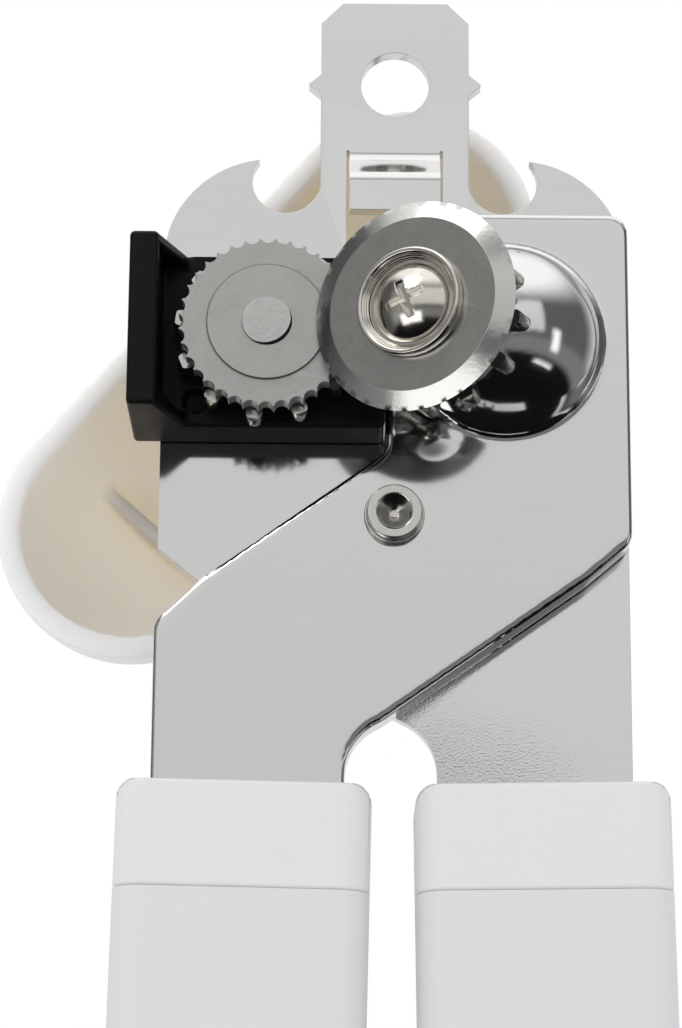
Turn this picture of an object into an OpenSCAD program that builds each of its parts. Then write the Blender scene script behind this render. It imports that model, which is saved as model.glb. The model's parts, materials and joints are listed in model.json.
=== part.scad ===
// Manual can opener with a clamping cutter arm, a turning knob and two handles.
// Origin: centre of the hang hole, on the middle plane of the rear plate.
// +Z points up along the tab, +X to the right, and the cutter faces -Y.
// "Level" is the height in front of the rear plate's front face, towards -Y.

/* [Plates] */
// Thickness of the rear plate
plate_t = 2; // [1.4:0.1:2.4]
// Half of the width of both plates
plate_half_w = 26.4; // [22:0.1:32]
// Thickness of the drawn front plate's sheet
sheet_t = 1.6; // [1.2:0.1:2]
// Depth of the front plate from its face back to its flange
pan_depth = 4.7; // [4:0.1:5.8]
// Gap between the front plate's flange and the rear plate
pan_gap = 0.3; // [0.2:0.05:0.6]
// Height of the front plate's top edge below the hang hole
pan_top = 17.7; // [17.5:0.1:19.5]
// Distance of the front plate's left edge from the centre line
pan_left = 1; // [0.6:0.1:2]
// Height below the hang hole at which the plates' diagonal edges meet the side
diagonal_z = 56.2; // [53:0.1:58]
// Height below the hang hole of the crotch between the handles
crotch_z = 75.6; // [72:0.1:79]
// Half of the gap between the two shanks where they enter the handles
shank_gap = 4.9; // [4:0.1:6]

/* [Tab and cap lifter] */
// Radius of the hang hole
hang_r = 4; // [3:0.1:5]
// Width of the tab
tab_w = 17.2; // [15:0.1:20]
// Height of the tab above the hang hole
tab_top = 10.25; // [9:0.05:12]
// Size of the chamfer on the tab's top corners
tab_chamfer = 2.5; // [1:0.1:4]
// How far the pointed nubs stand out at the tab's sides
nub_out = 1.4; // [0.8:0.1:2]
// Height of the pointed nubs
nub_h = 2.6; // [1.5:0.1:4]
// Radius of each bottle opener notch
notch_r = 4; // [3.2:0.1:4.6]
// Height of the notches' centre below the hang hole
notch_z = 12; // [11:0.1:13]
// Radius of the shoulder outside each notch
shoulder_r = 12.2; // [11.5:0.1:12.6]
// Width of the tongue that lifts caps
tongue_w = 10.5; // [8:0.1:11]
// Height below the hang hole at which the tongue starts
tongue_top = 8.3; // [7:0.1:9]
// Height below the hang hole of the tongue's free end
tongue_end = 16.5; // [15:0.1:17]
// How far the tongue is bent to the front
tongue_out = 2.6; // [1.5:0.1:3]
// Height over which the tongue is bent
bend_h = 3.2; // [2.6:0.1:3.6]
// Width of the slit around the tongue
slit_w = 0.3; // [0.2:0.05:0.8]
// Height below the hang hole of the bottom of the window behind the tongue
window_end = 20.5; // [19:0.1:22]

/* [Pivot] */
// Height of the pivot below the hang hole
pivot_z = 53.5; // [51:0.1:55]
// Radius of the pivot rivet's shank
pivot_r = 2.4; // [2:0.1:2.8]
// Radius of the pivot rivet's head
pivot_head_r = 3.05; // [2.9:0.05:4]
// Height of the pivot rivet's head
pivot_head_h = 1.9; // [1:0.1:2.5]
// Radius of the punched cone in the pivot rivet's head
pivot_cone_r = 2.05; // [1.5:0.05:2.4]
// Outer radius of the pivot's spacer and washer
pivot_ring_r = 4.2; // [3.6:0.1:4.3]

/* [Feed drive] */
// Distance of the knob's axis to the left of the centre line
feed_left = 14.2; // [13.4:0.1:15]
// Height of the knob's axis below the hang hole
feed_z = 33.8; // [33:0.1:35]
// Radius of the feed shaft
shaft_r = 3; // [2.4:0.1:3.6]
// Width of the square end of the feed shaft
shaft_square = 4; // [3:0.1:4.8]
// Radius of the feed shaft's flattened front end
shaft_end_r = 2.75; // [2:0.05:2.9]
// Radius over the feed wheel's serrations
feed_r = 9.75; // [9:0.05:10.2]
// Number of serrations on the feed wheel
feed_teeth = 36; // [24:1:44]
// Thickness of the feed wheel
feed_wheel_t = 2.5; // [2:0.1:3.2]
// Radius of the step on the feed wheel's face
feed_step_r = 6.6; // [5:0.1:8]
// Height of the step on the feed wheel's face
feed_step_h = 0.25; // [0.1:0.05:0.4]
// Gap between the feed gear's teeth and the feed wheel
gear_boss_h = 0.6; // [0.4:0.1:1]
// Wall of the feed bushing
bush_wall = 1.4; // [1:0.1:2]
// Thickness of the feed bushing's flange
bush_flange_t = 1.2; // [0.8:0.1:1.6]
// Thickness of the thrust washer behind the feed gear
thrust_t = 1.4; // [1:0.1:2]
// Thickness of the washer in front of the knob
knob_washer_t = 1.4; // [1:0.1:2]

/* [Gears] */
// Number of teeth on each of the two meshing gears
gear_teeth = 12; // [12:1:13]
// Thickness of both gears
gear_t = 2.4; // [2:0.1:2.6]
// Width of a gear tooth
tooth_w = 1.8; // [1.4:0.1:2]
// How far a gear tooth stands past the pitch circle
tooth_tip = 0.7; // [0.4:0.1:0.9]
// How deep the gap between teeth is below the pitch circle
tooth_root = 1.6; // [1.3:0.1:2]
// Angle by which the feed gear's first tooth is turned at rest
gear_turn = -8; // [-15:1:15]

/* [Cutter] */
// Radius of the cutter wheel's edge
cutter_r = 11.9; // [11.3:0.1:12.4]
// Tilt of the cutter wheel
cutter_tilt = 26; // [24:0.5:28]
// How far the cutter's edge reaches over the feed wheel
cutter_lap = 4.35; // [3.6:0.05:4.8]
// Gap between the cutter's edge and the feed wheel's face
cutter_gap = 0.3; // [0.2:0.05:0.5]
// Width of the cutter's front bevel
bevel_w = 2.1; // [1.5:0.1:3]
// Height of the cutter's front bevel
bevel_h = 0.8; // [0.5:0.1:1.2]
// Depth of the cutter's back bevel
back_bevel_h = 1.2; // [0.8:0.1:1.5]
// Radius of the cutter screw's shank
screw_r = 2.5; // [2:0.1:2.8]
// Radius of the cutter screw's head
screw_head_r = 4.5; // [4:0.1:4.7]
// Height of the cutter screw's domed head
screw_head_h = 1.9; // [1.4:0.1:2.4]
// Width across the arms of the screw's cross recess
cross_w = 4.3; // [3:0.1:5]
// Wall of the cutter hub's sleeve
hub_wall = 1.7; // [1.2:0.1:2]
// Depth of the hub flange's floor above the wheel
hub_floor = 0.3; // [0.2:0.05:0.5]
// Outer radius of the cutter hub's flange
hub_flange_r = 6.1; // [5.6:0.1:7]
// Inner radius of the cutter hub's flange, around the screw's head
hub_well_r = 4.9; // [4.8:0.05:5.2]
// Height of the cutter hub's flange above the wheel
hub_flange_h = 1.3; // [0.8:0.1:1.8]
// Thickness of the washer under the cutter gear
seat_washer_t = 0.9; // [0.6:0.1:1.2]
// Thickness of the cutter's nut
nut_t = 2.4; // [2:0.1:3]
// Width across the flats of the cutter's nut
nut_flats = 7; // [6.5:0.1:7.4]

/* [Dome] */
// Distance of the dome's centre to the right of the centre line
dome_x = 12.3; // [11.5:0.1:13]
// Radius of the dome where it leaves the front plate
dome_r = 11; // [10:0.1:11.6]
// Height of the dome's centre over the feed axis
dome_rise = 0.7; // [0:0.1:1]
// Depth of the dome's ball centre behind the front plate's face
dome_sink = 1.5; // [0.8:0.1:2]
// Radius of the tilted boss that carries the cutter
seat_r = 5.9; // [5.7:0.1:6.3]

/* [Rim guide] */
// Thickness of the guide's base, which is the depth of its bore
guide_base_t = 6.5; // [5.6:0.1:7]
// Height of the guide's wall above the rear plate
guide_wall_h = 15; // [12:0.1:17]
// Thickness of the guide's wall
guide_wall_t = 3.2; // [2:0.1:4]
// Height of the guide, from its lower to its upper edge
guide_h = 20; // [19:0.1:21]
// Height of the guide's upper edge above the feed axis
guide_up = 10; // [9.5:0.1:10.4]
// Gap between the guide and the front plate
guide_gap = 0.2; // [0.15:0.05:0.5]
// Thickness of the webs at the guide's ends
web_t = 1.5; // [1:0.1:2.2]
// Width of the webs on the guide's base
web_foot = 3; // [1.5:0.1:4]
// Radius of the two rivets that hold the guide
guide_rivet_r = 1.2; // [0.8:0.1:1.5]

/* [Knob] */
// Length of the knob
knob_len = 78.6; // [66:0.1:84]
// Width of the knob
knob_w = 30.6; // [27:0.1:36]
// Depth of the knob
knob_depth = 22; // [21:0.1:27]
// Wall of the knob
knob_wall = 2.6; // [2:0.1:3.4]
// Gap between the rear plate and the knob's rim
knob_clear = 5; // [4.6:0.1:8]
// Angle of the knob at rest, from level up to the right
knob_angle = 49; // [0:0.1:180]
// Radius of the knob's middle boss
knob_boss_r = 8; // [7.4:0.1:10]
// Distance of the knob's cross ribs from its axis
rib_at = 20.3; // [16:0.1:23]
// Thickness of the knob's cross ribs
rib_t = 1.6; // [1:0.1:2.5]
// How far the ribs' edges lie below the knob's rim
rib_drop = 14; // [8:0.1:16]
// Length of the metal insert in the knob
insert_len = 14; // [11:0.1:16]
// Width across the flats of the metal insert
insert_flats = 10; // [9:0.1:11]
// Radius of the knob screw's shank
knob_screw_r = 1.4; // [1.1:0.1:1.6]
// Radius of the knob screw's head
knob_screw_head_r = 3.6; // [3:0.1:4]
// Height of the knob screw's head
knob_screw_head_h = 2.2; // [1.5:0.1:2.6]

/* [Handles] */
// Length of each handle
handle_len = 117.75; // [98:0.25:142]
// Height of the handles' upper ends below the hang hole
handle_top = 84; // [83:0.1:88]
// Thickness of each handle
handle_t = 15; // [13:0.1:18]
// Level of the handles' front faces
handle_front = 9; // [8:0.1:11]
// Distance of the handles' inner sides from the centre line
handle_in = 2.3; // [2:0.1:3.6]
// How far the handles reach past the plates' sides
handle_over = 3.5; // [3:0.1:5]
// Length of each handle's collar
collar_len = 11.6; // [10:0.1:14]
// Radius of the handles' long edges
handle_edge_r = 3.5; // [2:0.1:5]
// Radius of the corners at the handles' upper ends
handle_top_r = 2; // [1:0.1:3]
// Radius of the corners at the handles' lower ends
handle_end_r = 9; // [5:0.1:12]
// Wall of the hollow grips
grip_wall = 2.4; // [1.8:0.1:3]
// Outward lean of each handle
handle_lean = 1; // [0:0.1:2]
// Width of the tangs inside the handles
tang_w = 13; // [10:0.1:15]
// Length of the tangs below the collars' wide slots
tang_len = 32; // [24:0.5:40]
// Depth of the collars' wide slots
slot_depth = 6; // [4:0.1:8]

/* [Hidden] */
$fn = 64;
run_fit = 0.05;      // radial clearance of a running fit
face_gap = 0.1;      // gap between two flat faces that turn on each other
slot_fit = 0.1;      // clearance around a plate in its slot
over = 1;            // how far a cut runs past the face that it opens
press_fit = 0.02;    // radial gap of a pressed or riveted fit
sliver = 0.01;       // lap that joins two shapes of one solid
far = 30;            // length of a cut that runs clear of the part
wide = 4 * plate_half_w;
crotch_r = 6.4;      // radius of the shanks' round upper inner corners
crotch_drop = 6;     // height of that radius's centre below the crotch
corner_w = 5;        // width of the corner where a diagonal edge meets the side
pan_side_h = 28.4;   // height of the front plate's upper left edge
pan_chamfer = 1.3;   // chamfer of its upper right corner
pan_shank_ease = 0.4; // how much further out its shank starts than the rear one
shoulder_drop = 1.4; // how far the shoulders' centres lie below the notches' reach
rivet_tail_t = 0.9;  // thickness of the headed rear ends of the rivets
recess_gap = 0.6;    // gap around a screw's head in its recess
washer_rim = 3;      // width of the washers' rings on the feed shaft

pan_front = pan_gap + pan_depth;
pan_inner = pan_front - sheet_t;

// Feed stack, from the guide's base to the front
thrust_level = guide_base_t + face_gap;
gear_level = thrust_level + thrust_t;
wheel_level = gear_level + gear_t + gear_boss_h;
face_level = wheel_level + feed_wheel_t;

// Cutter axis: it passes the middle of the edge circle, and "reach" runs along it to the front
edge_level = face_level + cutter_gap + cutter_r * sin(cutter_tilt);
cutter_x = feed_r - feed_left - cutter_lap + cutter_r * cos(cutter_tilt);
gear_rise = edge_level - gear_level - gear_t / 2;
pitch_r = (cutter_x + feed_left + tan(cutter_tilt) * gear_rise) / (1 + 1 / cos(cutter_tilt));
gear_back = (gear_rise - pitch_r * sin(cutter_tilt)) / cos(cutter_tilt);
back_bevel_w = back_bevel_h / tan(cutter_tilt);
hub_end = -gear_back - gear_t / 2;
seat_reach = hub_end - face_gap - seat_washer_t;
hub_r = screw_r + run_fit + hub_wall;

// Dome ball, sunk behind the front plate's face
ball_r = sqrt(dome_r * dome_r + dome_sink * dome_sink);

// Knob stack, from the rear plate to the back
flange_level = -plate_t - bush_flange_t;
washer_level = flange_level - face_gap - knob_washer_t;
rim_level = -plate_t - knob_clear;
knob_back = rim_level - knob_depth;
insert_end = washer_level - insert_len;

// Rim guide
guide_left = plate_half_w + guide_wall_t - 0.2;
guide_right = -pan_left - guide_gap;
guide_low = -feed_z + guide_up - guide_h;

// Handles
handle_w = plate_half_w + handle_over - handle_in;
handle_x = handle_in + handle_w / 2;
shank_x = (plate_half_w + shank_gap) / 2;
slot_end = handle_top + slot_depth;
tang_end = slot_end + tang_len;

// ---- Helpers ------------------------------------------------------------------------------

// Extrudes a flat outline, drawn as (x, z), from one level to another
module between(level_a, level_b) {
    translate([0, -plate_t / 2 - level_a, 0]) rotate([90, 0, 0])
        linear_extrude(level_b - level_a) children();
}

module disc(x, z, r, level_a, level_b) {
    between(level_a, level_b) translate([x, z]) circle(r);
}

// Puts children that stand on the feed axis, with +Z to the front and zero at the rear plate
module on_feed_axis() {
    translate([-feed_left, -plate_t / 2, -feed_z]) rotate([90, 0, 0]) children();
}

// Puts children on the tilted cutter axis, with +Z to the front and zero at the edge circle
module on_cutter_axis() {
    translate([cutter_x, -plate_t / 2 - edge_level, -feed_z])
        rotate([90, 0, 0]) rotate([0, -cutter_tilt, 0]) children();
}

module tube(outer, inner, low, high) {
    translate([0, 0, low]) difference() {
        cylinder(r = outer, h = high - low);
        translate([0, 0, -over]) cylinder(r = inner, h = high - low + 2 * over);
    }
}

// Flat corner points of an arc
function arc(cx, cz, r, from, to, steps = 8) =
    [for (i = [0:steps]) let (a = from + (to - from) * i / steps) [cx + r * cos(a), cz + r * sin(a)]];

// Where the two lines meet that run parallel to p-q and q-s, at distance d on their inner side
function mitre(p, q, s, d) =
    let (u = (q - p) / norm(q - p), v = (s - q) / norm(s - q),
         n = [-u[1], u[0]], m = [-v[1], v[0]], k = d / (1 + n * m))
    q + k * (n + m);

// A counter-clockwise outline moved inwards by d
function inset(points, d) =
    let (count = len(points))
    [for (i = [0:count - 1]) mitre(points[(i + count - 1) % count], points[i], points[(i + 1) % count], d)];

module mirrored() {
    children();
    mirror([1, 0, 0]) children();
}

// ---- Plates -------------------------------------------------------------------------------

// Lower half of a plate on the right side: side edge, shank and crotch; it is closed at the top
module shank_outline(top_z) {
    corner_drop = 4;
    crotch_left = 1.2;
    polygon(concat(
        [[-plate_half_w, top_z], [-plate_half_w, -diagonal_z],
         [-plate_half_w + corner_w, -diagonal_z - corner_drop], [-crotch_left, -crotch_z + 1]],
        arc(shank_gap - crotch_r, -crotch_z - crotch_drop, crotch_r, 68, 0),
        [[shank_gap, -slot_end], [plate_half_w, -slot_end], [plate_half_w, top_z]]));
}

module notch_cut() {
    mirrored() {
        translate([tab_w / 2 + notch_r - 0.1, -notch_z]) circle(notch_r);
        translate([tab_w / 2, -notch_z]) square([notch_r, notch_z]);
    }
}

module tang() {
    translate([shank_x - tang_w / 2, -tang_end]) square([tang_w, tang_len + slot_depth]);
}

module rear_outline() {
    nub_tip = 0.2;
    shoulder_z = notch_z + shoulder_r - notch_r + shoulder_drop;
    fill_low = window_end + 3;
    fill_top = notch_z + 2;
    foot = notch_z + notch_r + 1;
    difference() {
        union() {
            shank_outline(-shoulder_z);
            mirrored() translate([plate_half_w - shoulder_r, -shoulder_z]) circle(shoulder_r);
            translate([-plate_half_w + shoulder_r, -fill_low])
                square([2 * (plate_half_w - shoulder_r), fill_low - fill_top]);
            tang();
        }
        notch_cut();
    }
    polygon([[-tab_w / 2, -foot], [tab_w / 2, -foot],
             [tab_w / 2, tab_top - tab_chamfer], [tab_w / 2 - tab_chamfer, tab_top],
             [-tab_w / 2 + tab_chamfer, tab_top], [-tab_w / 2, tab_top - tab_chamfer]]);
    mirrored() polygon([[tab_w / 2 - over, nub_h / 2 + over], [tab_w / 2, nub_h / 2],
                        [tab_w / 2 + nub_out, nub_tip / 2], [tab_w / 2 + nub_out, -nub_tip / 2],
                        [tab_w / 2, -nub_h / 2], [tab_w / 2 - over, -nub_h / 2 - over]]);
}

// The lanced tongue, drawn from the side as (height, level) and given its width
module tongue() {
    straight_h = 0.8;
    back_lag = plate_t * tan((90 - atan(bend_h / tongue_out)) / 2);
    front_start = tongue_top + straight_h;
    front_end = front_start + bend_h;
    back_start = front_start + back_lag;
    back_end = front_end + back_lag;
    translate([-tongue_w / 2, -plate_t / 2, 0]) rotate([90, 0, 90]) linear_extrude(tongue_w)
        polygon([[0, sliver - tongue_top], [plate_t, sliver - tongue_top], [plate_t, -back_start],
                 [plate_t - tongue_out, -back_end], [plate_t - tongue_out, -tongue_end],
                 [-tongue_out, -tongue_end], [-tongue_out, -front_end], [0, -front_start]]);
}

module rear_plate() {
    color("silver") {
        difference() {
            between(-plate_t, 0) rear_outline();
            disc(0, 0, hang_r, -plate_t - over, over);
            between(-plate_t - over, over) translate([-tongue_w / 2 - slit_w, -window_end])
                square([tongue_w + 2 * slit_w, window_end - tongue_top]);
            disc(0, -pivot_z, pivot_r + run_fit, -plate_t - over, over);
            disc(-feed_left, -feed_z, shaft_r + run_fit + bush_wall, -plate_t - over, over);
            guide_rivet_places() circle(guide_rivet_r);
        }
        tongue();
    }
}

// Outline of the front plate, counter-clockwise, without its corner radii
function pan_points() = concat(
    [[-pan_left, -pan_top], [-pan_left, -pan_top - pan_side_h],
     [-plate_half_w + corner_w, -diagonal_z - 4.6], [-plate_half_w, -diagonal_z - 9.4],
     [-plate_half_w, -slot_end], [-shank_gap - pan_shank_ease, -slot_end]],
    arc(crotch_r - shank_gap - pan_shank_ease, -crotch_z - crotch_drop - 1, crotch_r, 180, 112),
    [[plate_half_w - corner_w, -diagonal_z - 4.3], [plate_half_w, -diagonal_z],
     [plate_half_w, -pan_top - pan_chamfer], [plate_half_w - pan_chamfer, -pan_top]]);

// The dome's ball above a level, standing where the dome leaves the plate
module dome(r, level) {
    translate([dome_x, -plate_t / 2 - pan_front + dome_sink, dome_rise - feed_z]) rotate([90, 0, 0])
        rotate_extrude($fn = 96) intersection() {
            circle(r);
            translate([0, level + dome_sink - pan_front]) square(2 * r);
        }
}

module front_plate() {
    boss_h = 6.5;
    color("silver") difference() {
        union() {
            difference() {
                between(pan_gap, pan_front) polygon(pan_points());
                between(pan_gap - over, pan_inner) polygon(inset(pan_points(), sheet_t));
            }
            difference() {
                union() {
                    dome(ball_r, pan_inner);
                    on_cutter_axis() translate([0, 0, seat_reach - boss_h]) cylinder(r = seat_r, h = boss_h);
                }
                on_cutter_axis() translate([-3 * dome_r, -3 * dome_r, seat_reach])
                    cube([6 * dome_r, 6 * dome_r, 2 * dome_r]);
            }
            between(pan_inner, pan_front) mirror([1, 0]) tang();
        }
        dome(ball_r - sheet_t, pan_gap);
        on_cutter_axis() {
            translate([0, 0, seat_reach - sheet_t - boss_h - 0.5]) cylinder(r = seat_r - sheet_t, h = boss_h + 0.5);
            translate([0, 0, seat_reach - sheet_t - over]) cylinder(r = screw_r + run_fit, h = sheet_t + 2 * over);
        }
        disc(0, -pivot_z, pivot_r + run_fit, 0, pan_front + over);
    }
}

// ---- Pivot --------------------------------------------------------------------------------

module pivot_rivet() {
    tail_t = 2;
    tail_h = 1.1;
    head_foot = 0.4;
    head_level = pan_front + face_gap;
    cone_h = 1.4;
    color("gainsboro") translate([0, -plate_t / 2, -pivot_z]) rotate([90, 0, 0]) difference() {
        union() {
            translate([0, 0, -plate_t - tail_t]) cylinder(r = pivot_r, h = plate_t + tail_t + head_level + face_gap);
            translate([0, 0, -plate_t - tail_t]) cylinder(r1 = pivot_r + 0.4, r2 = pivot_r + 1, h = tail_h);
            translate([0, 0, head_level]) cylinder(r = pivot_head_r, h = pivot_head_h);
            translate([0, 0, head_level]) cylinder(r = pivot_head_r + 0.3, h = head_foot);
        }
        translate([0, 0, head_level + pivot_head_h - cone_h]) cylinder(r1 = 0.5, r2 = pivot_cone_r, h = cone_h + sliver);
    }
}

module pivot_spacer() {
    color("darkgray") translate([0, -plate_t / 2, -pivot_z]) rotate([90, 0, 0])
        tube(pivot_ring_r, pivot_r + run_fit, 0, pan_inner - face_gap);
}

module pivot_washer() {
    color("darkgray") translate([0, -plate_t / 2, -pivot_z]) rotate([90, 0, 0])
        tube(pivot_ring_r, pivot_r + run_fit, -plate_t - rivet_tail_t, -plate_t);
}

// ---- Guide and bushing --------------------------------------------------------------------

module guide_rivet_places() {
    from_end = 3;
    from_side = 4.2;
    from_pan = 3.4;
    between(-plate_t - over, guide_base_t) {
        translate([-plate_half_w + from_side, guide_low + from_end]) children();
        translate([guide_right - from_pan, guide_low + guide_h - from_end]) children();
    }
}

module rim_guide() {
    color([0.12, 0.12, 0.13]) difference() {
        union() {
            between(0, guide_base_t) translate([-guide_left, guide_low])
                square([guide_left + guide_right, guide_h]);
            between(0, guide_wall_h) translate([-guide_left, guide_low])
                square([guide_wall_t, guide_h]);
            for (z = [guide_low, guide_low + guide_h - web_t])
                translate([-guide_left + guide_wall_t, -plate_t / 2, z]) linear_extrude(web_t)
                    polygon([[-0.2, -guide_base_t], [web_foot, -guide_base_t], [-0.2, -guide_wall_h]]);
        }
        disc(-feed_left, -feed_z, shaft_r + run_fit + bush_wall + slot_fit, -over, guide_base_t + over);
        guide_rivet_places() circle(guide_rivet_r);
    }
}

// Everything between two levels
module layer(level_a, level_b) {
    between(level_a, level_b) square(wide, center = true);
}

module guide_rivets() {
    head_sink = 1.2;
    head_over = 0.9;
    color("silver") {
        difference() {
            guide_rivet_places() circle(guide_rivet_r - press_fit);
            layer(-plate_t - 2 * over, -plate_t - rivet_tail_t);
            layer(guide_base_t - head_sink, guide_base_t + over);
        }
        intersection() {
            layer(-plate_t - rivet_tail_t, -plate_t);
            guide_rivet_places() circle(guide_rivet_r + head_over);
        }
    }
}

module feed_bushing() {
    color("darkgray") on_feed_axis() {
        tube(shaft_r + run_fit + bush_wall - press_fit, shaft_r + run_fit, -plate_t, guide_base_t);
        tube(shaft_r + run_fit + bush_wall + 2, shaft_r + run_fit, flange_level, -plate_t);
    }
}

// ---- Feed drive ---------------------------------------------------------------------------

module feed_wheel() {
    valley_r = 0.85;
    valley_depth = 0.55;
    color("darkgray") on_feed_axis() difference() {
        union() {
            translate([0, 0, wheel_level]) linear_extrude(feed_wheel_t - feed_step_h) difference() {
                circle(feed_r);
                for (i = [0:feed_teeth - 1]) rotate(i * 360 / feed_teeth)
                    translate([feed_r - valley_depth + valley_r, 0]) circle(valley_r);
            }
            translate([0, 0, wheel_level]) cylinder(r = feed_step_r, h = feed_wheel_t);
        }
        translate([0, 0, wheel_level - over]) cylinder(r = shaft_end_r, h = feed_wheel_t + 2 * over);
    }
}

// A gear blank with round-ended teeth, standing on zero; its tips follow a cone towards +Z
module star_gear(turn) {
    slope = tan(cutter_tilt / 2);
    tip = pitch_r + tooth_tip;
    intersection() {
        linear_extrude(gear_t) {
            circle(pitch_r - tooth_root);
            for (i = [0:gear_teeth - 1]) rotate(turn + i * 360 / gear_teeth) {
                translate([0, -tooth_w / 2]) square([tip - tooth_w / 2, tooth_w]);
                translate([tip - tooth_w / 2, 0]) circle(tooth_w / 2);
            }
        }
        cylinder(r1 = tip + slope * gear_t / 2, r2 = tip - slope * gear_t / 2, h = gear_t);
    }
}

module feed_gear() {
    color("silver") on_feed_axis() difference() {
        union() {
            translate([0, 0, gear_level]) star_gear(90 + gear_turn);
            translate([0, 0, gear_level]) cylinder(r = feed_step_r - 0.6, h = gear_t + gear_boss_h);
        }
        translate([0, 0, gear_level - over]) cylinder(r = shaft_r + press_fit, h = gear_t + gear_boss_h + 2 * over);
    }
}

module feed_shaft() {
    color("silver") on_feed_axis() difference() {
        union() {
            translate([0, 0, washer_level]) cylinder(r = shaft_r, h = wheel_level - washer_level);
            translate([0, 0, wheel_level - sliver]) cylinder(r = shaft_end_r - press_fit, h = feed_wheel_t + 0.25);
            translate([-shaft_square / 2, -shaft_square / 2, insert_end])
                cube([shaft_square, shaft_square, insert_len + sliver]);
        }
        translate([0, 0, insert_end - over]) cylinder(r = knob_screw_r + press_fit, h = insert_len - 4 + over);
    }
}

module thrust_washer() {
    color("gainsboro") on_feed_axis() tube(shaft_r + washer_rim, shaft_r + press_fit, thrust_level, gear_level);
}

module knob_washer() {
    color("gainsboro") on_feed_axis()
        tube(shaft_r + washer_rim, shaft_r + press_fit, washer_level, washer_level + knob_washer_t);
}

// ---- Knob ---------------------------------------------------------------------------------

module stadium(length, width) {
    for (side = [-1, 1]) translate([side * (length - width) / 2, 0]) circle(width / 2);
    square([length - width, width], center = true);
}

// A trough with a rounded back and round ends, from "top" above its rim line down to its depth
module trough(length, width, depth, top) {
    side = [for (a = [0:7.5:90]) [width / 2 * cos(a), -depth * sin(a)]];
    middle = length - width;
    for (end = [0, 180]) rotate(end) translate([middle / 2, 0, 0]) intersection() {
        rotate_extrude() polygon(concat([[0, top], [width / 2, top]], side));
        translate([0, -width, -depth - over]) cube([width, 2 * width, depth + top + 2 * over]);
    }
    rotate([90, 0, 90]) translate([0, 0, -middle / 2]) linear_extrude(middle)
        polygon(concat([[width / 2, top]], side, [for (i = [len(side) - 2:-1:0]) [-side[i][0], side[i][1]]],
                       [[-width / 2, top]]));
}

module knob_shell() {
    color("ivory") on_feed_axis() rotate(knob_angle) difference() {
        union() {
            translate([0, 0, rim_level]) difference() {
                trough(knob_len, knob_w, knob_depth, 0);
                trough(knob_len - 2 * knob_wall, knob_w - 2 * knob_wall, knob_depth - knob_wall, over);
            }
            intersection() {
                translate([0, 0, rim_level]) trough(knob_len, knob_w, knob_depth, 0);
                union() {
                    translate([0, 0, knob_back]) cylinder(r = knob_boss_r, h = knob_depth - over);
                    for (side = [-1, 1]) translate([side * rib_at - rib_t / 2, -knob_w / 2, knob_back])
                        cube([rib_t, knob_w, knob_depth - rib_drop]);
                }
            }
            translate([0, 0, rim_level - 2 * over]) cylinder(r = knob_boss_r, h = washer_level - rim_level + 2 * over);
        }
        translate([0, 0, insert_end]) linear_extrude(insert_len + over)
            circle(insert_flats / 2 / cos(30), $fn = 6);
        translate([0, 0, knob_back - over])
            cylinder(r = knob_screw_head_r + recess_gap, h = insert_end - knob_back + over + sliver);
    }
}

module knob_insert() {
    color("darkkhaki") on_feed_axis() rotate(knob_angle) difference() {
        translate([0, 0, insert_end]) linear_extrude(insert_len) circle(insert_flats / 2 / cos(30), $fn = 6);
        rotate(-knob_angle) translate([0, 0, insert_end - over]) linear_extrude(insert_len + 2 * over)
            square(shaft_square + 2 * press_fit, center = true);
    }
}

module knob_screw() {
    color("silver") on_feed_axis() difference() {
        union() {
            translate([0, 0, insert_end - sliver]) cylinder(r = knob_screw_r, h = insert_len - 5);
            translate([0, 0, insert_end - knob_screw_head_h])
                cylinder(r1 = knob_screw_head_r - 0.7, r2 = knob_screw_head_r, h = knob_screw_head_h);
        }
        translate([0, 0, insert_end - knob_screw_head_h - over]) cross(cross_w, over + 1.2);
    }
}

// A cross recess, standing on zero
module cross(width, depth) {
    arm_w = 0.9;
    for (turn = [0, 90]) rotate(turn) translate([-width / 2, -arm_w / 2, 0]) cube([width, arm_w, depth]);
}

// ---- Cutter -------------------------------------------------------------------------------

module cutter_wheel() {
    color("gray") on_cutter_axis() rotate_extrude($fn = 128) polygon([
        [hub_r + press_fit, -back_bevel_h], [cutter_r - back_bevel_w, -back_bevel_h], [cutter_r, 0],
        [cutter_r - bevel_w, bevel_h], [hub_r + press_fit, bevel_h]]);
}

module cutter_hub() {
    color("silver") on_cutter_axis() difference() {
        union() {
            translate([0, 0, hub_end]) cylinder(r = hub_r, h = bevel_h + hub_floor - hub_end);
            translate([0, 0, bevel_h]) cylinder(r = hub_flange_r, h = hub_flange_h);
        }
        translate([0, 0, hub_end - over]) cylinder(r = screw_r + run_fit, h = far);
        translate([0, 0, bevel_h + hub_floor]) cylinder(r = hub_well_r, h = far);
    }
}

module cutter_spacer() {
    color("gray") on_cutter_axis()
        tube(hub_r + 1, hub_r + press_fit, -gear_back + gear_t / 2, -back_bevel_h);
}

module cutter_gear() {
    color("silver") on_cutter_axis() difference() {
        translate([0, 0, -gear_back - gear_t / 2]) star_gear(-90 - gear_turn + 180 / gear_teeth);
        translate([0, 0, hub_end - over]) cylinder(r = hub_r + press_fit, h = gear_t + 2 * over);
    }
}

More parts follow.
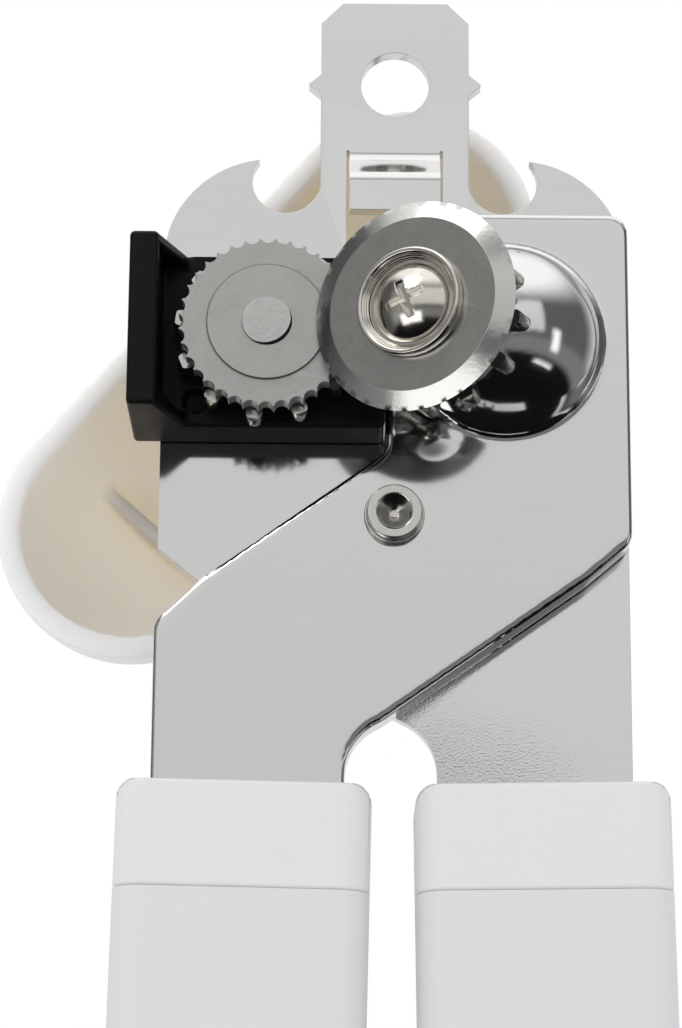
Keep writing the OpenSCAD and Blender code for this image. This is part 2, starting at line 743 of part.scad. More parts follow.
module cutter_screw() {
    head = bevel_h + hub_floor + face_gap;
    ball = (screw_head_r * screw_head_r + screw_head_h * screw_head_h) / (2 * screw_head_h);
    color("gainsboro") on_cutter_axis() difference() {
        union() {
            translate([0, 0, seat_reach - sheet_t - nut_t - 0.6])
                cylinder(r = screw_r, h = head - seat_reach + sheet_t + nut_t + 0.7);
            intersection() {
                translate([0, 0, head + screw_head_h - ball]) sphere(r = ball, $fn = 96);
                translate([0, 0, head]) cylinder(r = screw_head_r, h = screw_head_h + over);
            }
        }
        rotate(20) translate([0, 0, head + screw_head_h - 1.1]) cross(cross_w, 2);
    }
}

module cutter_washer() {
    color("gainsboro") on_cutter_axis()
        tube(hub_r + 0.4, screw_r + run_fit, seat_reach, seat_reach + seat_washer_t);
}

module cutter_nut() {
    color("darkgray") on_cutter_axis() translate([0, 0, seat_reach - sheet_t - nut_t]) difference() {
        linear_extrude(nut_t) circle(nut_flats / 2 / cos(30), $fn = 6);
        translate([0, 0, -over]) cylinder(r = screw_r + press_fit, h = nut_t + 2 * over);
    }
}

// ---- Handles ------------------------------------------------------------------------------

// A right handle's frame: origin at the middle of its upper end, leaning outwards
module handle_place() {
    translate([handle_x, -plate_t / 2 - handle_front + handle_t / 2, -handle_top])
        rotate([0, -handle_lean, 0]) children();
}

module rounded(width, depth, r) {
    square([width - 2 * r, depth], center = true);
    square([width, depth - 2 * r], center = true);
    for (x = [-1, 1], y = [-1, 1]) translate([x * (width / 2 - r), y * (depth / 2 - r)]) circle(r);
}

// A stretch of the right handle's outer shape, from "high" down to "low" below its upper end
module handle_stretch(high, low) {
    translate([0, 0, -low]) linear_extrude(low - high) rounded(handle_w, handle_t, handle_edge_r);
}

// Front view of the whole handle, with its eased upper corners and round lower corners
module handle_front_view() {
    hull() for (x = [-1, 1]) {
        translate([x * (handle_w / 2 - handle_top_r), -handle_top_r]) circle(handle_top_r);
        translate([x * (handle_w / 2 - handle_end_r), -handle_len + handle_end_r]) circle(handle_end_r);
    }
}

// Slots for a shank and its tang, from the levels of the plate's two faces
module collar_slots(level_a, level_b) {
    between(level_a - slot_fit, level_b + slot_fit) {
        translate([shank_gap - slot_fit, -slot_end - slot_fit])
            square([plate_half_w - shank_gap + 2 * slot_fit, slot_depth + slot_fit + over]);
        translate([shank_x - tang_w / 2 - slot_fit, -tang_end - slot_fit])
            square([tang_w + 2 * slot_fit, tang_len + slot_depth]);
    }
}

module handle_outer(high, low) {
    handle_place() intersection() {
        handle_stretch(high, low);
        rotate([90, 0, 0]) translate([0, 0, -handle_t]) linear_extrude(2 * handle_t) handle_front_view();
    }
}

module handle_collar(level_a, level_b) {
    difference() {
        handle_outer(0, collar_len);
        collar_slots(level_a, level_b);
    }
}

module handle_grip() {
    difference() {
        handle_outer(collar_len, handle_len);
        handle_place() translate([0, 0, -handle_len + grip_wall + handle_end_r])
            linear_extrude(handle_len - collar_len - grip_wall - handle_end_r + over)
                rounded(handle_w - 2 * grip_wall, handle_t - 2 * grip_wall, handle_edge_r - 1);
    }
}

module right_handle_collar() { color("whitesmoke") handle_collar(-plate_t, 0); }

module right_handle_grip() { color("whitesmoke") handle_grip(); }

module left_handle_collar() { color("whitesmoke") mirror([1, 0, 0]) handle_collar(pan_gap, pan_front); }

module left_handle_grip() { color("whitesmoke") mirror([1, 0, 0]) handle_grip(); }

// ---- Parts --------------------------------------------------------------------------------

rear_plate();
rim_guide();
guide_rivets();
feed_bushing();
pivot_rivet();
pivot_spacer();
pivot_washer();
right_handle_collar();
right_handle_grip();
front_plate();
cutter_screw();
cutter_washer();
cutter_nut();
left_handle_collar();
left_handle_grip();
feed_wheel();
feed_gear();
feed_shaft();
thrust_washer();
knob_washer();
knob_shell();
knob_insert();
knob_screw();
cutter_wheel();
cutter_hub();
cutter_spacer();
cutter_gear();
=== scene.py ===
import json
import math

import bmesh
import bpy
from mathutils import Matrix, Vector


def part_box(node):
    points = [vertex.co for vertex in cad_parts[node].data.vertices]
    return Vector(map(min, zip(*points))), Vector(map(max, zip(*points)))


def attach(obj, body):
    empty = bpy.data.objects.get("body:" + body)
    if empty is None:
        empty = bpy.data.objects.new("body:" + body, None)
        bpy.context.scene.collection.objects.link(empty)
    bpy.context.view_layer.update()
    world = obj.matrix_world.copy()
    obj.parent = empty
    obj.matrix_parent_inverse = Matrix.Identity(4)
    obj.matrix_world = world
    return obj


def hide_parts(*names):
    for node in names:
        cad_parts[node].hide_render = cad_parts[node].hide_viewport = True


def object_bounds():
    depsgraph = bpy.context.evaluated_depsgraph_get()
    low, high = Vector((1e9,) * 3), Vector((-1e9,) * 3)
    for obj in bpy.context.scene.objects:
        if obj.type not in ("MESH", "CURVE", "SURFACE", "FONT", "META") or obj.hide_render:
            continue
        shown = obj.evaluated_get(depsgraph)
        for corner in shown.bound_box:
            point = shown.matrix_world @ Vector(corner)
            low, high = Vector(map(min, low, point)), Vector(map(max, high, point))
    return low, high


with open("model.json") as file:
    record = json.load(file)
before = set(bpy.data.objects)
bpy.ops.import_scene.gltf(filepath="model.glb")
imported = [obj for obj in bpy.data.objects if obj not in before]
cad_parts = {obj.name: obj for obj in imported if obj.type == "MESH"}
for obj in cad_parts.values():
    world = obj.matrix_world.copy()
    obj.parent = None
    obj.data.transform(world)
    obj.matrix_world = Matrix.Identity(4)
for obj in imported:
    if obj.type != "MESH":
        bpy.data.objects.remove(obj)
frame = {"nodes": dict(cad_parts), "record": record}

cad_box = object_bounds()

# ---- Viewpoint -------------------------------------------------------------------------------
# The opener hangs upright and is seen from the front, a little from below, through a long lens.
# The camera leans by half a degree, as a hand-held one does.
look_up = math.radians(15.4)
lean = math.radians(0.45)
camera = bpy.data.objects.new("camera", bpy.data.cameras.new("camera"))
bpy.context.scene.collection.objects.link(camera)
turned = Matrix.Rotation(math.pi / 2 + look_up, 4, "X") @ Matrix.Rotation(lean, 4, "Z")
stand_point = (-0.0059, -0.3462, -0.1471)
camera.matrix_world = Matrix.Translation(stand_point) @ turned
camera.data.sensor_width = 36
camera.data.lens = 111.6
camera.data.clip_start = 0.01
bpy.context.scene.camera = camera
bpy.context.scene.view_settings.view_transform = "Standard"

# ---- Studio ----------------------------------------------------------------------------------
# A white studio with a soft lamp above. The plated pieces mirror cards around the opener, from
# black to bright, and those draw the dark and bright lines along the bends.


def add_node(tree, kind, sockets=None, **settings):
    made = tree.nodes.new(kind)
    for name, value in settings.items():
        setattr(made, name, value)
    for name, value in (sockets or {}).items():
        if isinstance(value, bpy.types.NodeSocket):
            tree.links.new(value, made.inputs[name])
        else:
            made.inputs[name].default_value = value
    return made


def calc(tree, operation, first, second=0.0):
    return add_node(tree, "ShaderNodeMath", {0: first, 1: second}, operation=operation).outputs[0]


def ramp(tree, value, low, high, to_low=0.0, to_high=1.0):
    sockets = {"Value": value, "From Min": low, "From Max": high, "To Min": to_low, "To Max": to_high}
    made = add_node(tree, "ShaderNodeMapRange", sockets, interpolation_type="SMOOTHSTEP")
    return made.outputs["Result"]


def between(tree, mask, first, second):
    kept = calc(tree, "MULTIPLY", calc(tree, "SUBTRACT", 1.0, mask), first)
    return calc(tree, "ADD", kept, calc(tree, "MULTIPLY", mask, second))


world = bpy.data.worlds.new("studio")
bpy.context.scene.world = world
world.use_nodes = True
sky = world.node_tree
sky.nodes.clear()
facing = add_node(sky, "ShaderNodeTexCoord").outputs["Generated"]
right, back, up = add_node(sky, "ShaderNodeSeparateXYZ", {0: facing}).outputs
turn = calc(sky, "ARCTAN2", right, calc(sky, "MULTIPLY", back, -1.0))
lift = calc(sky, "ARCSINE", up)


def card(behind, turn_deg, lift_deg, half_w, half_h, edge, brightness):
    mask = 1.0
    for angle, middle, half in ((turn, turn_deg, half_w), (lift, lift_deg, half_h)):
        off = calc(sky, "ABSOLUTE", calc(sky, "SUBTRACT", angle, math.radians(middle)))
        inside = ramp(sky, off, math.radians(half - edge), math.radians(half + edge), 1.0, 0.0)
        mask = calc(sky, "MULTIPLY", inside, mask)
    return between(sky, mask, behind, brightness)


mirrored = ramp(sky, lift, math.radians(30), math.radians(60), 0.12, 1.2)
mirrored = between(sky, ramp(sky, back, 0.25, 0.75), mirrored, 0.80)
front_light = ramp(sky, lift, math.radians(4), math.radians(34), 0.70, 0.80)
# Each card's turn, lift, half width, half height and soft edge in degrees, and its brightness.
cards = ((0, -70, 179, 48, 6, 0.005),
         (40, -14, 120, 9, 5, 0.22),
         (-66, 10, 38, 32, 10, 0.30),
         (-97, 10, 18, 40, 8, 0.10),
         (1, 19, 44, 17, 4, front_light),
         (-36, -22, 23, 10, 3, 1.7),
         (61, -4, 5, 11, 3.5, 1.3),
         (52, -35, 14, 6, 4, 1.1))
for placing in cards:
    mirrored = card(mirrored, *placing)
even = ramp(sky, up, -1.0, 1.0, 0.78, 1.0)
rays = add_node(sky, "ShaderNodeLightPath").outputs
strength = between(sky, rays["Is Glossy Ray"], even, mirrored)
strength = between(sky, rays["Is Camera Ray"], strength, 1.0)
white = add_node(sky, "ShaderNodeBackground", {"Color": (1, 1, 1, 1), "Strength": strength})
add_node(sky, "ShaderNodeOutputWorld", {"Surface": white.outputs[0]})

lamp_light = bpy.data.lights.new("top_lamp", "AREA")
lamp_light.energy = 0.55
lamp_light.size = 0.3
lamp = bpy.data.objects.new("top_lamp", lamp_light)
bpy.context.scene.collection.objects.link(lamp)
lamp.location = (-0.28, -0.35, 0.45)
lamp_aim = Vector((0, 0, -0.06))
lamp.rotation_euler = (lamp_aim - lamp.location).to_track_quat("-Z", "Y").to_euler()

floor_shape = bmesh.new()
bmesh.ops.create_circle(floor_shape, cap_ends=True, segments=96, radius=0.27)
floor_mesh = bpy.data.meshes.new("floor")
floor_shape.to_mesh(floor_mesh)
floor_shape.free()
floor = bpy.data.objects.new("floor", floor_mesh)
bpy.context.scene.collection.objects.link(floor)
floor.location = (0, 0, cad_box[0][2] - 0.001)
pale_floor = bpy.data.materials.new("pale_floor")
pale_floor.use_nodes = True
floor_tree = pale_floor.node_tree
floor_tree.nodes.clear()
pale = add_node(floor_tree, "ShaderNodeBsdfDiffuse", {"Color": (0.82, 0.82, 0.82, 1)})
unlit = add_node(floor_tree, "ShaderNodeEmission", {"Color": (0.005, 0.005, 0.005, 1), "Strength": 1.0})
seen = add_node(floor_tree, "ShaderNodeLightPath").outputs["Is Glossy Ray"]
floor_mix = add_node(floor_tree, "ShaderNodeMixShader", {0: seen, 1: pale.outputs[0], 2: unlit.outputs[0]})
add_node(floor_tree, "ShaderNodeOutputMaterial", {"Surface": floor_mix.outputs[0]})
floor_mesh.materials.append(pale_floor)

# ---- Rear plate ------------------------------------------------------------------------------
# The frame of the opener: a stamped steel sheet, plated bright, with the hanging tab, two bottle
# notches and a lanced tongue that lifts caps. Its stamped edges are barely broken.
mm = 0.001
joints = {joint["name"]: joint for joint in frame["record"]["behaviour"]["joints"]}


def merged_copy(node_name):
    """A CAD node's mesh as a closed one, with the triangles of its flat faces joined."""
    shape = bmesh.new()
    shape.from_mesh(frame["nodes"][node_name].data)
    bmesh.ops.remove_doubles(shape, verts=shape.verts, dist=0.001 * mm)
    bmesh.ops.dissolve_limit(shape, angle_limit=math.radians(0.3), verts=shape.verts, edges=shape.edges)
    return shape


def add_piece(name, shape, body, look, slot_name, *stands_for):
    mesh = bpy.data.meshes.new(name)
    shape.to_mesh(mesh)
    shape.free()
    mesh.shade_smooth()
    mesh.materials.append(look)
    piece = bpy.data.objects.new(name, mesh)
    bpy.context.scene.collection.objects.link(piece)
    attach(piece, body)
    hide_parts(*stands_for)
    return piece


def ease_edges(piece, width, segments=2, sharper_than=28):
    """Breaks the sharp edges, and shades flat faces flat."""
    eased = piece.modifiers.new("eased_edges", "BEVEL")
    eased.width = width
    eased.segments = segments
    eased.limit_method = "ANGLE"
    eased.angle_limit = math.radians(sharper_than)
    eased.harden_normals = False
    flat = piece.modifiers.new("flat_faces", "WEIGHTED_NORMAL")
    flat.weight = 80


# Every finish uses this group: uneven colour and gloss, a fine relief, and edges worn bright.
finish = bpy.data.node_groups.new("surface_finish", "ShaderNodeTree")
finish_inputs = (("Color", "Color"), ("Variation", "Float"), ("Scale", "Float"), ("Stretch", "Vector"),
                 ("Roughness", "Float"), ("Spread", "Float"), ("Relief", "Float"), ("Wear", "Float"))
finish_outputs = (("Color", "Color"), ("Roughness", "Float"), ("Normal", "Vector"))
for name, kind in finish_inputs:
    finish.interface.new_socket(name, in_out="INPUT", socket_type="NodeSocket" + kind)
for name, kind in finish_outputs:
    finish.interface.new_socket(name, in_out="OUTPUT", socket_type="NodeSocket" + kind)
given = add_node(finish, "NodeGroupInput").outputs
spot = add_node(finish, "ShaderNodeTexCoord").outputs["Object"]
stretched = add_node(finish, "ShaderNodeVectorMath", {0: spot, 1: given["Stretch"]}, operation="MULTIPLY")
drawn = stretched.outputs[0]
coarse_scale = calc(finish, "MULTIPLY", given["Scale"], 0.17)
coarse = add_node(finish, "ShaderNodeTexNoise", {"Vector": drawn, "Scale": coarse_scale, "Detail": 3.0})
fine = add_node(finish, "ShaderNodeTexNoise", {"Vector": drawn, "Scale": given["Scale"], "Detail": 4.0})
uneven = calc(finish, "SUBTRACT", calc(finish, "ADD", coarse.outputs["Fac"], fine.outputs["Fac"]), 1.0)
edge = ramp(finish, add_node(finish, "ShaderNodeNewGeometry").outputs["Pointiness"], 0.52, 0.60)
worn = calc(finish, "MULTIPLY", edge, given["Wear"])
varied = calc(finish, "MULTIPLY", uneven, given["Variation"])
shade = calc(finish, "ADD", varied, calc(finish, "ADD", worn, 1.0))
tinted = add_node(finish, "ShaderNodeVectorMath", {0: given["Color"], "Scale": shade}, operation="SCALE")
gloss = calc(finish, "ADD", given["Roughness"], calc(finish, "MULTIPLY", uneven, given["Spread"]))
relief = add_node(finish, "ShaderNodeBump", {"Height": fine.outputs["Fac"], "Distance": given["Relief"]})
add_node(finish, "NodeGroupOutput", {"Color": tinted.outputs[0], "Roughness": gloss,
                                     "Normal": relief.outputs["Normal"]})


def make_finish(name, color, metallic, roughness, scale, relief, variation=0.06, spread=0.05,
                stretch=(1, 1, 1), wear=0.12):
    look = bpy.data.materials.new(name)
    look.use_nodes = True
    tree = look.node_tree
    surface = tree.nodes["Principled BSDF"]
    surface.inputs["Metallic"].default_value = metallic
    made = add_node(tree, "ShaderNodeGroup", node_tree=finish)
    values = {"Color": (*color, 1), "Variation": variation, "Scale": scale, "Stretch": stretch,
              "Roughness": roughness, "Spread": spread, "Relief": relief, "Wear": wear}
    for socket, value in values.items():
        made.inputs[socket].default_value = value
    for socket in ("Color", "Roughness", "Normal"):
        target = "Base Color" if socket == "Color" else socket
        tree.links.new(made.outputs[socket], surface.inputs[target])
    return look


def finish_of(look):
    return next(made for made in look.node_tree.nodes if made.type == "GROUP").outputs


plating = make_finish("chromed_sheet", (0.755, 0.755, 0.745), 1, 0.10, 900, 0.0025 * mm,
                      variation=0.03, spread=0.06, stretch=(0.14, 1, 1), wear=0.05)
# The rear sheet's plating is uneven like orange peel low on the shank, most towards the middle.
rear_plating = plating.copy()
rear_plating.name = "chromed_rear_sheet"
rear_tree = rear_plating.node_tree
rear_spot = add_node(rear_tree, "ShaderNodeTexCoord").outputs["Object"]
rear_x, _, rear_z = add_node(rear_tree, "ShaderNodeSeparateXYZ", {0: rear_spot}).outputs
pitted = calc(rear_tree, "MULTIPLY", ramp(rear_tree, rear_z, -86 * mm, -66 * mm, 1.0, 0.0),
              ramp(rear_tree, rear_x, 8 * mm, 27 * mm, 1.0, 0.2))
pits = add_node(rear_tree, "ShaderNodeTexNoise", {"Vector": rear_spot, "Scale": 4000.0, "Detail": 3.0})
pit_depth = calc(rear_tree, "MULTIPLY", pits.outputs["Fac"], pitted)
peel = add_node(rear_tree, "ShaderNodeBump", {"Height": pit_depth, "Distance": 0.085 * mm,
                                              "Normal": finish_of(rear_plating)["Normal"]})
rear_tree.links.new(peel.outputs["Normal"], rear_tree.nodes["Principled BSDF"].inputs["Normal"])

plate_shape = merged_copy("rear_plate")
tongue_width = 9 * mm
bends_low = -16 * mm
bends_high = -8.5 * mm
tongue_bends = [edge for edge in plate_shape.edges
                if len(edge.link_faces) == 2 and bends_low < edge.verts[0].co.z < bends_high
                and abs(edge.verts[0].co.x - edge.verts[1].co.x) > tongue_width
                and math.radians(15) < edge.calc_face_angle() < math.radians(80)]
bmesh.ops.bevel(plate_shape, geom=tongue_bends, offset=0.75 * mm, affect="EDGES", segments=6,
                profile=0.5, material=-1, clamp_overlap=True)
rear_plate = add_piece("rear_plate_sheet", plate_shape, "opener_frame", rear_plating, "chromed_sheet",
                       "rear_plate")
ease_edges(rear_plate, 0.16 * mm)

# ---- Pivot -----------------------------------------------------------------------------------
# A turned steel rivet joins the two plates. Its head is rounded over and punched with a cone.
# A spacer ring lies between the plates, and a washer under the headed rear end.
steel = make_finish("bright_steel", (0.66, 0.645, 0.62), 1, 0.16, 1600, 0.006 * mm,
                    variation=0.10, spread=0.08)


def add_turned(node_name, body, look=steel, slot_name="bright_steel", width=0.15 * mm, segments=2):
    piece = add_piece(node_name + "_turned", merged_copy(node_name), body, look, slot_name, node_name)
    ease_edges(piece, width, segments)


add_turned("pivot_rivet", "opener_frame", width=0.4 * mm, segments=4)
add_turned("pivot_spacer", "opener_frame")
add_turned("pivot_washer", "opener_frame")

# ---- Rim guide -------------------------------------------------------------------------------
# A black moulded angle that the can's rim runs along, held to the rear plate by two blackened
# rivets. The feed shaft's bushing passes through it.
black = make_finish("black_plastic", (0.003, 0.003, 0.0032), 0, 0.42, 1400, 0.02 * mm,
                    variation=0.25, spread=0.14, wear=1.0)
black.node_tree.nodes["Principled BSDF"].inputs["Specular IOR Level"].default_value = 0.16
guide = add_piece("rim_guide_moulding", merged_copy("rim_guide"), "opener_frame", black, "black_plastic",
                  "rim_guide")
ease_edges(guide, 0.55 * mm, 4)
guide.modifiers["eased_edges"].use_clamp_overlap = False
slots = {part["node"]: part["material_slot"] for part in frame["record"]["subparts"]}
add_turned("guide_rivets", "opener_frame", black, slots["guide_rivets"])
add_turned("feed_bushing", "opener_frame", steel, slots["feed_bushing"])

# ---- Feed drive ------------------------------------------------------------------------------
# The serrated wheel grips the can's rim. It is pressed from sintered steel, sits on the shaft
# with the feed gear behind it, and the shaft's end is peened over it, unevenly.
sintered = make_finish("sintered_steel", (0.50, 0.495, 0.48), 1, 0.48, 2600, 0.03 * mm,
                       variation=0.22, spread=0.12)
feed_wheel = add_piece("feed_wheel_sintered", merged_copy("feed_wheel"), "feed_drive", sintered,
                       "sintered_steel", "feed_wheel")
ease_edges(feed_wheel, 0.04 * mm)
gear_steel = make_finish("gear_steel", (0.60, 0.59, 0.565), 1, 0.2, 1800, 0.012 * mm,
                         variation=0.15, spread=0.1)
feed_gear = add_piece("feed_gear_cast", merged_copy("feed_gear"), "feed_drive", gear_steel,
                      "bright_steel", "feed_gear")
ease_edges(feed_gear, 0.32 * mm, 3)

# Painted shade: a thin dark line is painted at the foot of the step on the wheel's face, where shade falls
# in the corner.
feed_axis = Vector(joints["knob_spin"]["pos_m"])
step_radius = 6.63 * mm
sintered_tree = sintered.node_tree
sintered_spot = add_node(sintered_tree, "ShaderNodeTexCoord").outputs["Object"]
from_axis = add_node(sintered_tree, "ShaderNodeVectorMath", {0: sintered_spot, 1: feed_axis},
                     operation="SUBTRACT")
across = add_node(sintered_tree, "ShaderNodeVectorMath", {0: from_axis.outputs[0], 1: (1, 0, 1)},
                  operation="MULTIPLY")
radius = add_node(sintered_tree, "ShaderNodeVectorMath", {0: across.outputs[0]}, operation="LENGTH")
off_step = calc(sintered_tree, "ABSOLUTE",
                calc(sintered_tree, "SUBTRACT", radius.outputs["Value"], step_radius))
step_shade_mask = ramp(sintered_tree, off_step, 0.03 * mm, 0.16 * mm, 0.55, 0.0)
step_shade_color = add_node(sintered_tree, "ShaderNodeMixRGB",
                 {"Fac": step_shade_mask, "Color1": finish_of(sintered)["Color"],
                  "Color2": (0.05, 0.05, 0.048, 1)})
sintered_surface = sintered_tree.nodes["Principled BSDF"]
sintered_tree.links.new(step_shade_color.outputs["Color"], sintered_surface.inputs["Base Color"])

# The peened end is drawn in at its low side, where a dark crescent of the bore shows.
peened = make_finish("peened_end", (0.58, 0.575, 0.56), 1, 0.42, 1500, 0.06 * mm,
                     variation=0.25, spread=0.12)
wheel_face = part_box("feed_wheel")[0].y
shaft_shape = merged_copy("feed_shaft")
whole_shaft = shaft_shape.verts[:] + shaft_shape.edges[:] + shaft_shape.faces[:]
bmesh.ops.bisect_plane(shaft_shape, geom=whole_shaft, plane_co=(0, wheel_face, 0), plane_no=(0, 1, 0))
low_side = Vector((0.63, 0, -0.777))
drawn_in = 0.11
for vert in shaft_shape.verts:
    toward = (vert.co - feed_axis).dot(low_side)
    if vert.co.y < wheel_face + 0.01 * mm and toward > 0:
        vert.co -= low_side * toward * drawn_in
shaft = add_piece("feed_shaft_peened", shaft_shape, "feed_drive", peened, "bright_steel", "feed_shaft")
ease_edges(shaft, 0.08 * mm)
add_turned("thrust_washer", "feed_drive")
add_turned("knob_washer", "feed_drive")

# ---- Knob ------------------------------------------------------------------------------------
# A long ivory moulding, hollow towards the plates, with cross ribs and a thick rounded rim. A
# metal insert in its boss fits the shaft's square, and a screw from behind holds it.


def soften(piece, grain, passes):
    """Rounds every edge and corner a little, as a mould or a drawing die leaves them."""
    remesh = piece.modifiers.new("even_mesh", "REMESH")
    remesh.mode = "VOXEL"
    remesh.voxel_size = grain
    remesh.use_smooth_shade = True
    smooth = piece.modifiers.new("rounded", "SMOOTH")
    smooth.factor = 0.5
    smooth.iterations = passes
    shown = piece.evaluated_get(bpy.context.evaluated_depsgraph_get())
    old = piece.data
    piece.data = bpy.data.meshes.new_from_object(shown)
    piece.modifiers.clear()
    bpy.data.meshes.remove(old)
    piece.data.shade_smooth()


ivory = make_finish("ivory_plastic", (0.88, 0.87, 0.85), 0, 0.42, 700, 0.01 * mm,
                    variation=0.02, spread=0.08, wear=0.03)
ivory_tree = ivory.node_tree
# Painted light: where the knob's hollow is occluded its colour turns warm, standing in for light bounced
# around inside it.
hollow = add_node(ivory_tree, "ShaderNodeAmbientOcclusion", {"Distance": 26 * mm}, samples=8)
painted_bounce_mask = ramp(ivory_tree, hollow.outputs["AO"], 0.05, 0.55, 1.0, 0.0)
painted_warm_bounce = add_node(ivory_tree, "ShaderNodeMixRGB", {"Fac": painted_bounce_mask, "Color1": finish_of(ivory)["Color"],
                                                 "Color2": (0.93, 0.82, 0.70, 1)})
ivory_surface = ivory_tree.nodes["Principled BSDF"]
ivory_tree.links.new(painted_warm_bounce.outputs["Color"], ivory_surface.inputs["Base Color"])
ivory_surface.inputs["Subsurface Weight"].default_value = 1.0
ivory_surface.inputs["Subsurface Radius"].default_value = (1.0, 0.84, 0.66)
ivory_surface.inputs["Subsurface Scale"].default_value = 9 * mm
knob = add_piece("knob_moulding", merged_copy("knob_shell"), "feed_drive", ivory, "ivory_plastic",
                 "knob_shell")
soften(knob, 0.43 * mm, 4)

brass = make_finish("insert_brass", (0.62, 0.50, 0.28), 1, 0.3, 1500, 0.01 * mm, variation=0.1)
insert = add_piece("knob_insert_metal", merged_copy("knob_insert"), "feed_drive", brass, "insert_brass",
                   "knob_insert")
ease_edges(insert, 0.15 * mm)
add_turned("knob_screw", "feed_drive")

# ---- Front plate -----------------------------------------------------------------------------
# The arm that carries the cutter: a drawn pan of plated sheet with a turned-back rim. A ball
# dome with a tilted seat is drawn into it, and a low bump beside the dome.
pan_shape = merged_copy("front_plate")
dome_middle = Vector((12.3 * mm, -33.8 * mm))
dome_reach = 13 * mm
rim_depth = 4 * mm
shank_foot = -95 * mm
rim_corners = [edge for edge in pan_shape.edges
               if len(edge.link_faces) == 2 and edge.calc_length() > rim_depth
               and abs(edge.verts[0].co.y - edge.verts[1].co.y) > rim_depth
               and edge.verts[0].co.z > shank_foot and edge.calc_face_angle() > math.radians(20)
               and (edge.verts[0].co.xz - dome_middle).length > dome_reach]
bmesh.ops.bevel(pan_shape, geom=rim_corners, offset=1.5 * mm, affect="EDGES", segments=5,
                profile=0.5, material=-1, clamp_overlap=True)
front_plate = add_piece("front_plate_pan", pan_shape, "cutter_arm", plating, "chromed_sheet", "front_plate")
soften(front_plate, 0.36 * mm, 9)
bump_middle = Vector((4.1 * mm, -43.5 * mm))
bump_radius = 4.2 * mm
bump_height = 0.45 * mm
pan_face = -6 * mm
for vert in front_plate.data.vertices:
    reach = (vert.co.xz - bump_middle).length / bump_radius
    if reach < 1 and abs(vert.co.y - pan_face) < 0.3 * mm:
        vert.co.y -= bump_height * (1 - reach * reach) ** 2

# ---- Cutter ----------------------------------------------------------------------------------
# The hardened wheel turns on the screw with its gear, on a flanged hub. Its face is ground
# satin and its bevel is ground brighter. The nut inside the dome holds the screw.
screw_look = make_finish("nickel", (0.70, 0.675, 0.62), 1, 0.14, 1300, 0.008 * mm,
                         variation=0.12, spread=0.06)
for fixing in ("cutter_washer", "cutter_nut", "cutter_screw"):
    piece = add_piece(fixing + "_plated", merged_copy(fixing), "cutter_arm", screw_look, "bright_steel",
                      fixing)
    ease_edges(piece, 0.12 * mm)
cutter_gear = add_piece("cutter_gear_cast", merged_copy("cutter_gear"), "cutter_head", gear_steel,
                        "bright_steel", "cutter_gear")
ease_edges(cutter_gear, 0.32 * mm, 3)
add_turned("cutter_spacer", "cutter_head")

ground = make_finish("cutter_steel", (0.46, 0.455, 0.435), 1, 0.22, 2200, 0.006 * mm,
                     variation=0.14, spread=0.06)
bevel_ground = make_finish("cutter_bevel", (0.60, 0.595, 0.575), 1, 0.17, 2200, 0.008 * mm,
                           variation=0.10, spread=0.05)
cutter_spot = Vector(joints["cutter_spin"]["pos_m"])
to_front = -Vector(joints["cutter_spin"]["axis"]).normalized()
wheel = add_piece("cutter_wheel_ground", merged_copy("cutter_wheel"), "cutter_head", ground,
                  "cutter_steel", "cutter_wheel")
wheel.data.materials.append(bevel_ground)
least_slope = 10
most_slope = 40
for face in wheel.data.polygons:
    if least_slope < math.degrees(face.normal.angle(to_front)) < most_slope:
        face.material_index = 1
ease_edges(wheel, 0.05 * mm, sharper_than=10)

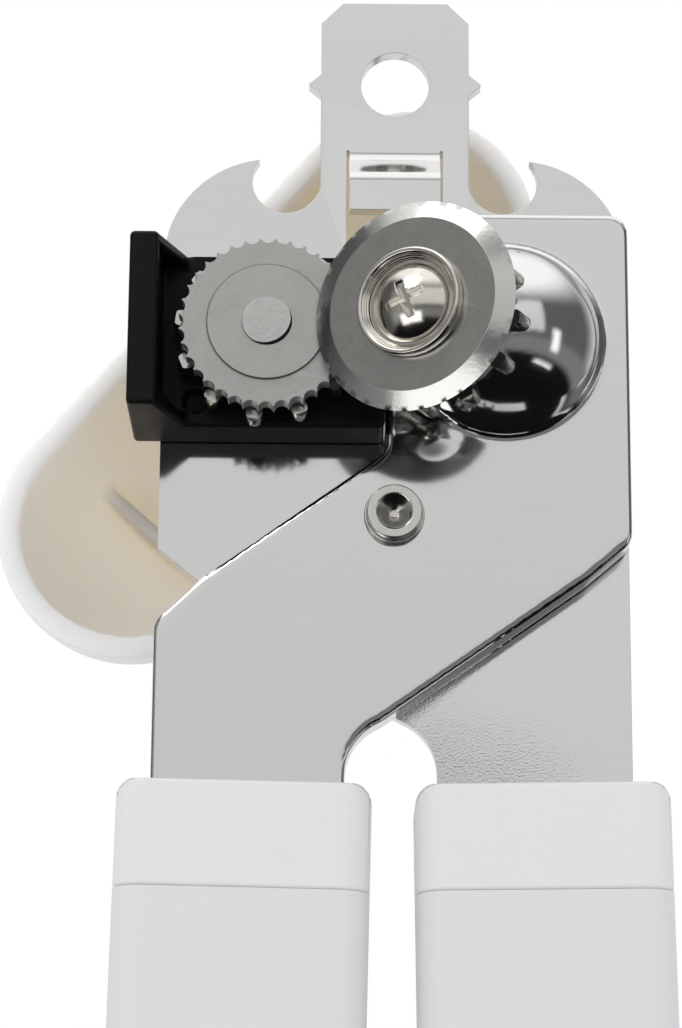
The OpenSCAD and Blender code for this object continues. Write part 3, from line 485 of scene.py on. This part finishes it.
# The hub is turned from its outline, given as radius and height in millimetres.
along = [to_front.dot(vert.co - cutter_spot) for vert in frame["nodes"]["cutter_hub"].data.vertices]
hub_end, hub_top = min(along), max(along)
hub_side = ((2.6, hub_end / mm), (2.6, 1.1), (4.85, 1.1), (4.88, 1.45), (5.06, 1.5), (5.08, 1.66),
            (5.24, 1.71), (5.26, 1.85), (5.42, 1.9), (5.5, hub_top / mm - 0.06), (5.62, hub_top / mm),
            (5.9, hub_top / mm), (6.05, hub_top / mm - 0.1), (6.1, hub_top / mm - 0.3), (6.1, 0.95),
            (6.0, 0.82), (4.25, 0.82), (4.25, hub_end / mm))
hub_shape = bmesh.new()
outline = [hub_shape.verts.new((radius * mm, 0, height * mm)) for radius, height in hub_side]
for first, second in zip(outline, outline[1:] + outline[:1]):
    hub_shape.edges.new((first, second))
bmesh.ops.spin(hub_shape, geom=hub_shape.verts[:] + hub_shape.edges[:], cent=(0, 0, 0), axis=(0, 0, 1),
               angle=math.tau, steps=96, use_merge=True)
bmesh.ops.remove_doubles(hub_shape, verts=hub_shape.verts, dist=0.001 * mm)
bmesh.ops.recalc_face_normals(hub_shape, faces=hub_shape.faces)
stand = Vector((0, 0, 1)).rotation_difference(to_front).to_matrix().to_4x4()
bmesh.ops.transform(hub_shape, matrix=Matrix.Translation(cutter_spot) @ stand, verts=hub_shape.verts)
hub = add_piece("cutter_hub_turned", hub_shape, "cutter_head", screw_look, "bright_steel", "cutter_hub")
ease_edges(hub, 0.03 * mm, segments=1, sharper_than=30)

# ---- Handles ---------------------------------------------------------------------------------
# White moulded grips over the plates' shanks. Each is a collar and a hollow grip that meet in
# a fine seam, and the collar is a little paler.
white_plastic = make_finish("white_plastic", (0.735, 0.725, 0.73), 0, 0.5, 900, 0.012 * mm,
                            variation=0.012, spread=0.06, wear=0.03)
collar_plastic = make_finish("collar_plastic", (0.80, 0.79, 0.79), 0, 0.5, 900, 0.012 * mm,
                             variation=0.012, spread=0.06, wear=0.03)
for side, body in (("right", "opener_frame"), ("left", "cutter_arm")):
    for part in ("collar", "grip"):
        node_name = f"{side}_handle_{part}"
        look = collar_plastic if part == "collar" else white_plastic
        piece = add_piece(node_name + "_moulding", merged_copy(node_name), body, look, "white_plastic",
                          node_name)
        ease_edges(piece, (0.5 if part == "collar" else 0.15) * mm, 3)
        piece.modifiers["eased_edges"].use_clamp_overlap = part != "collar"
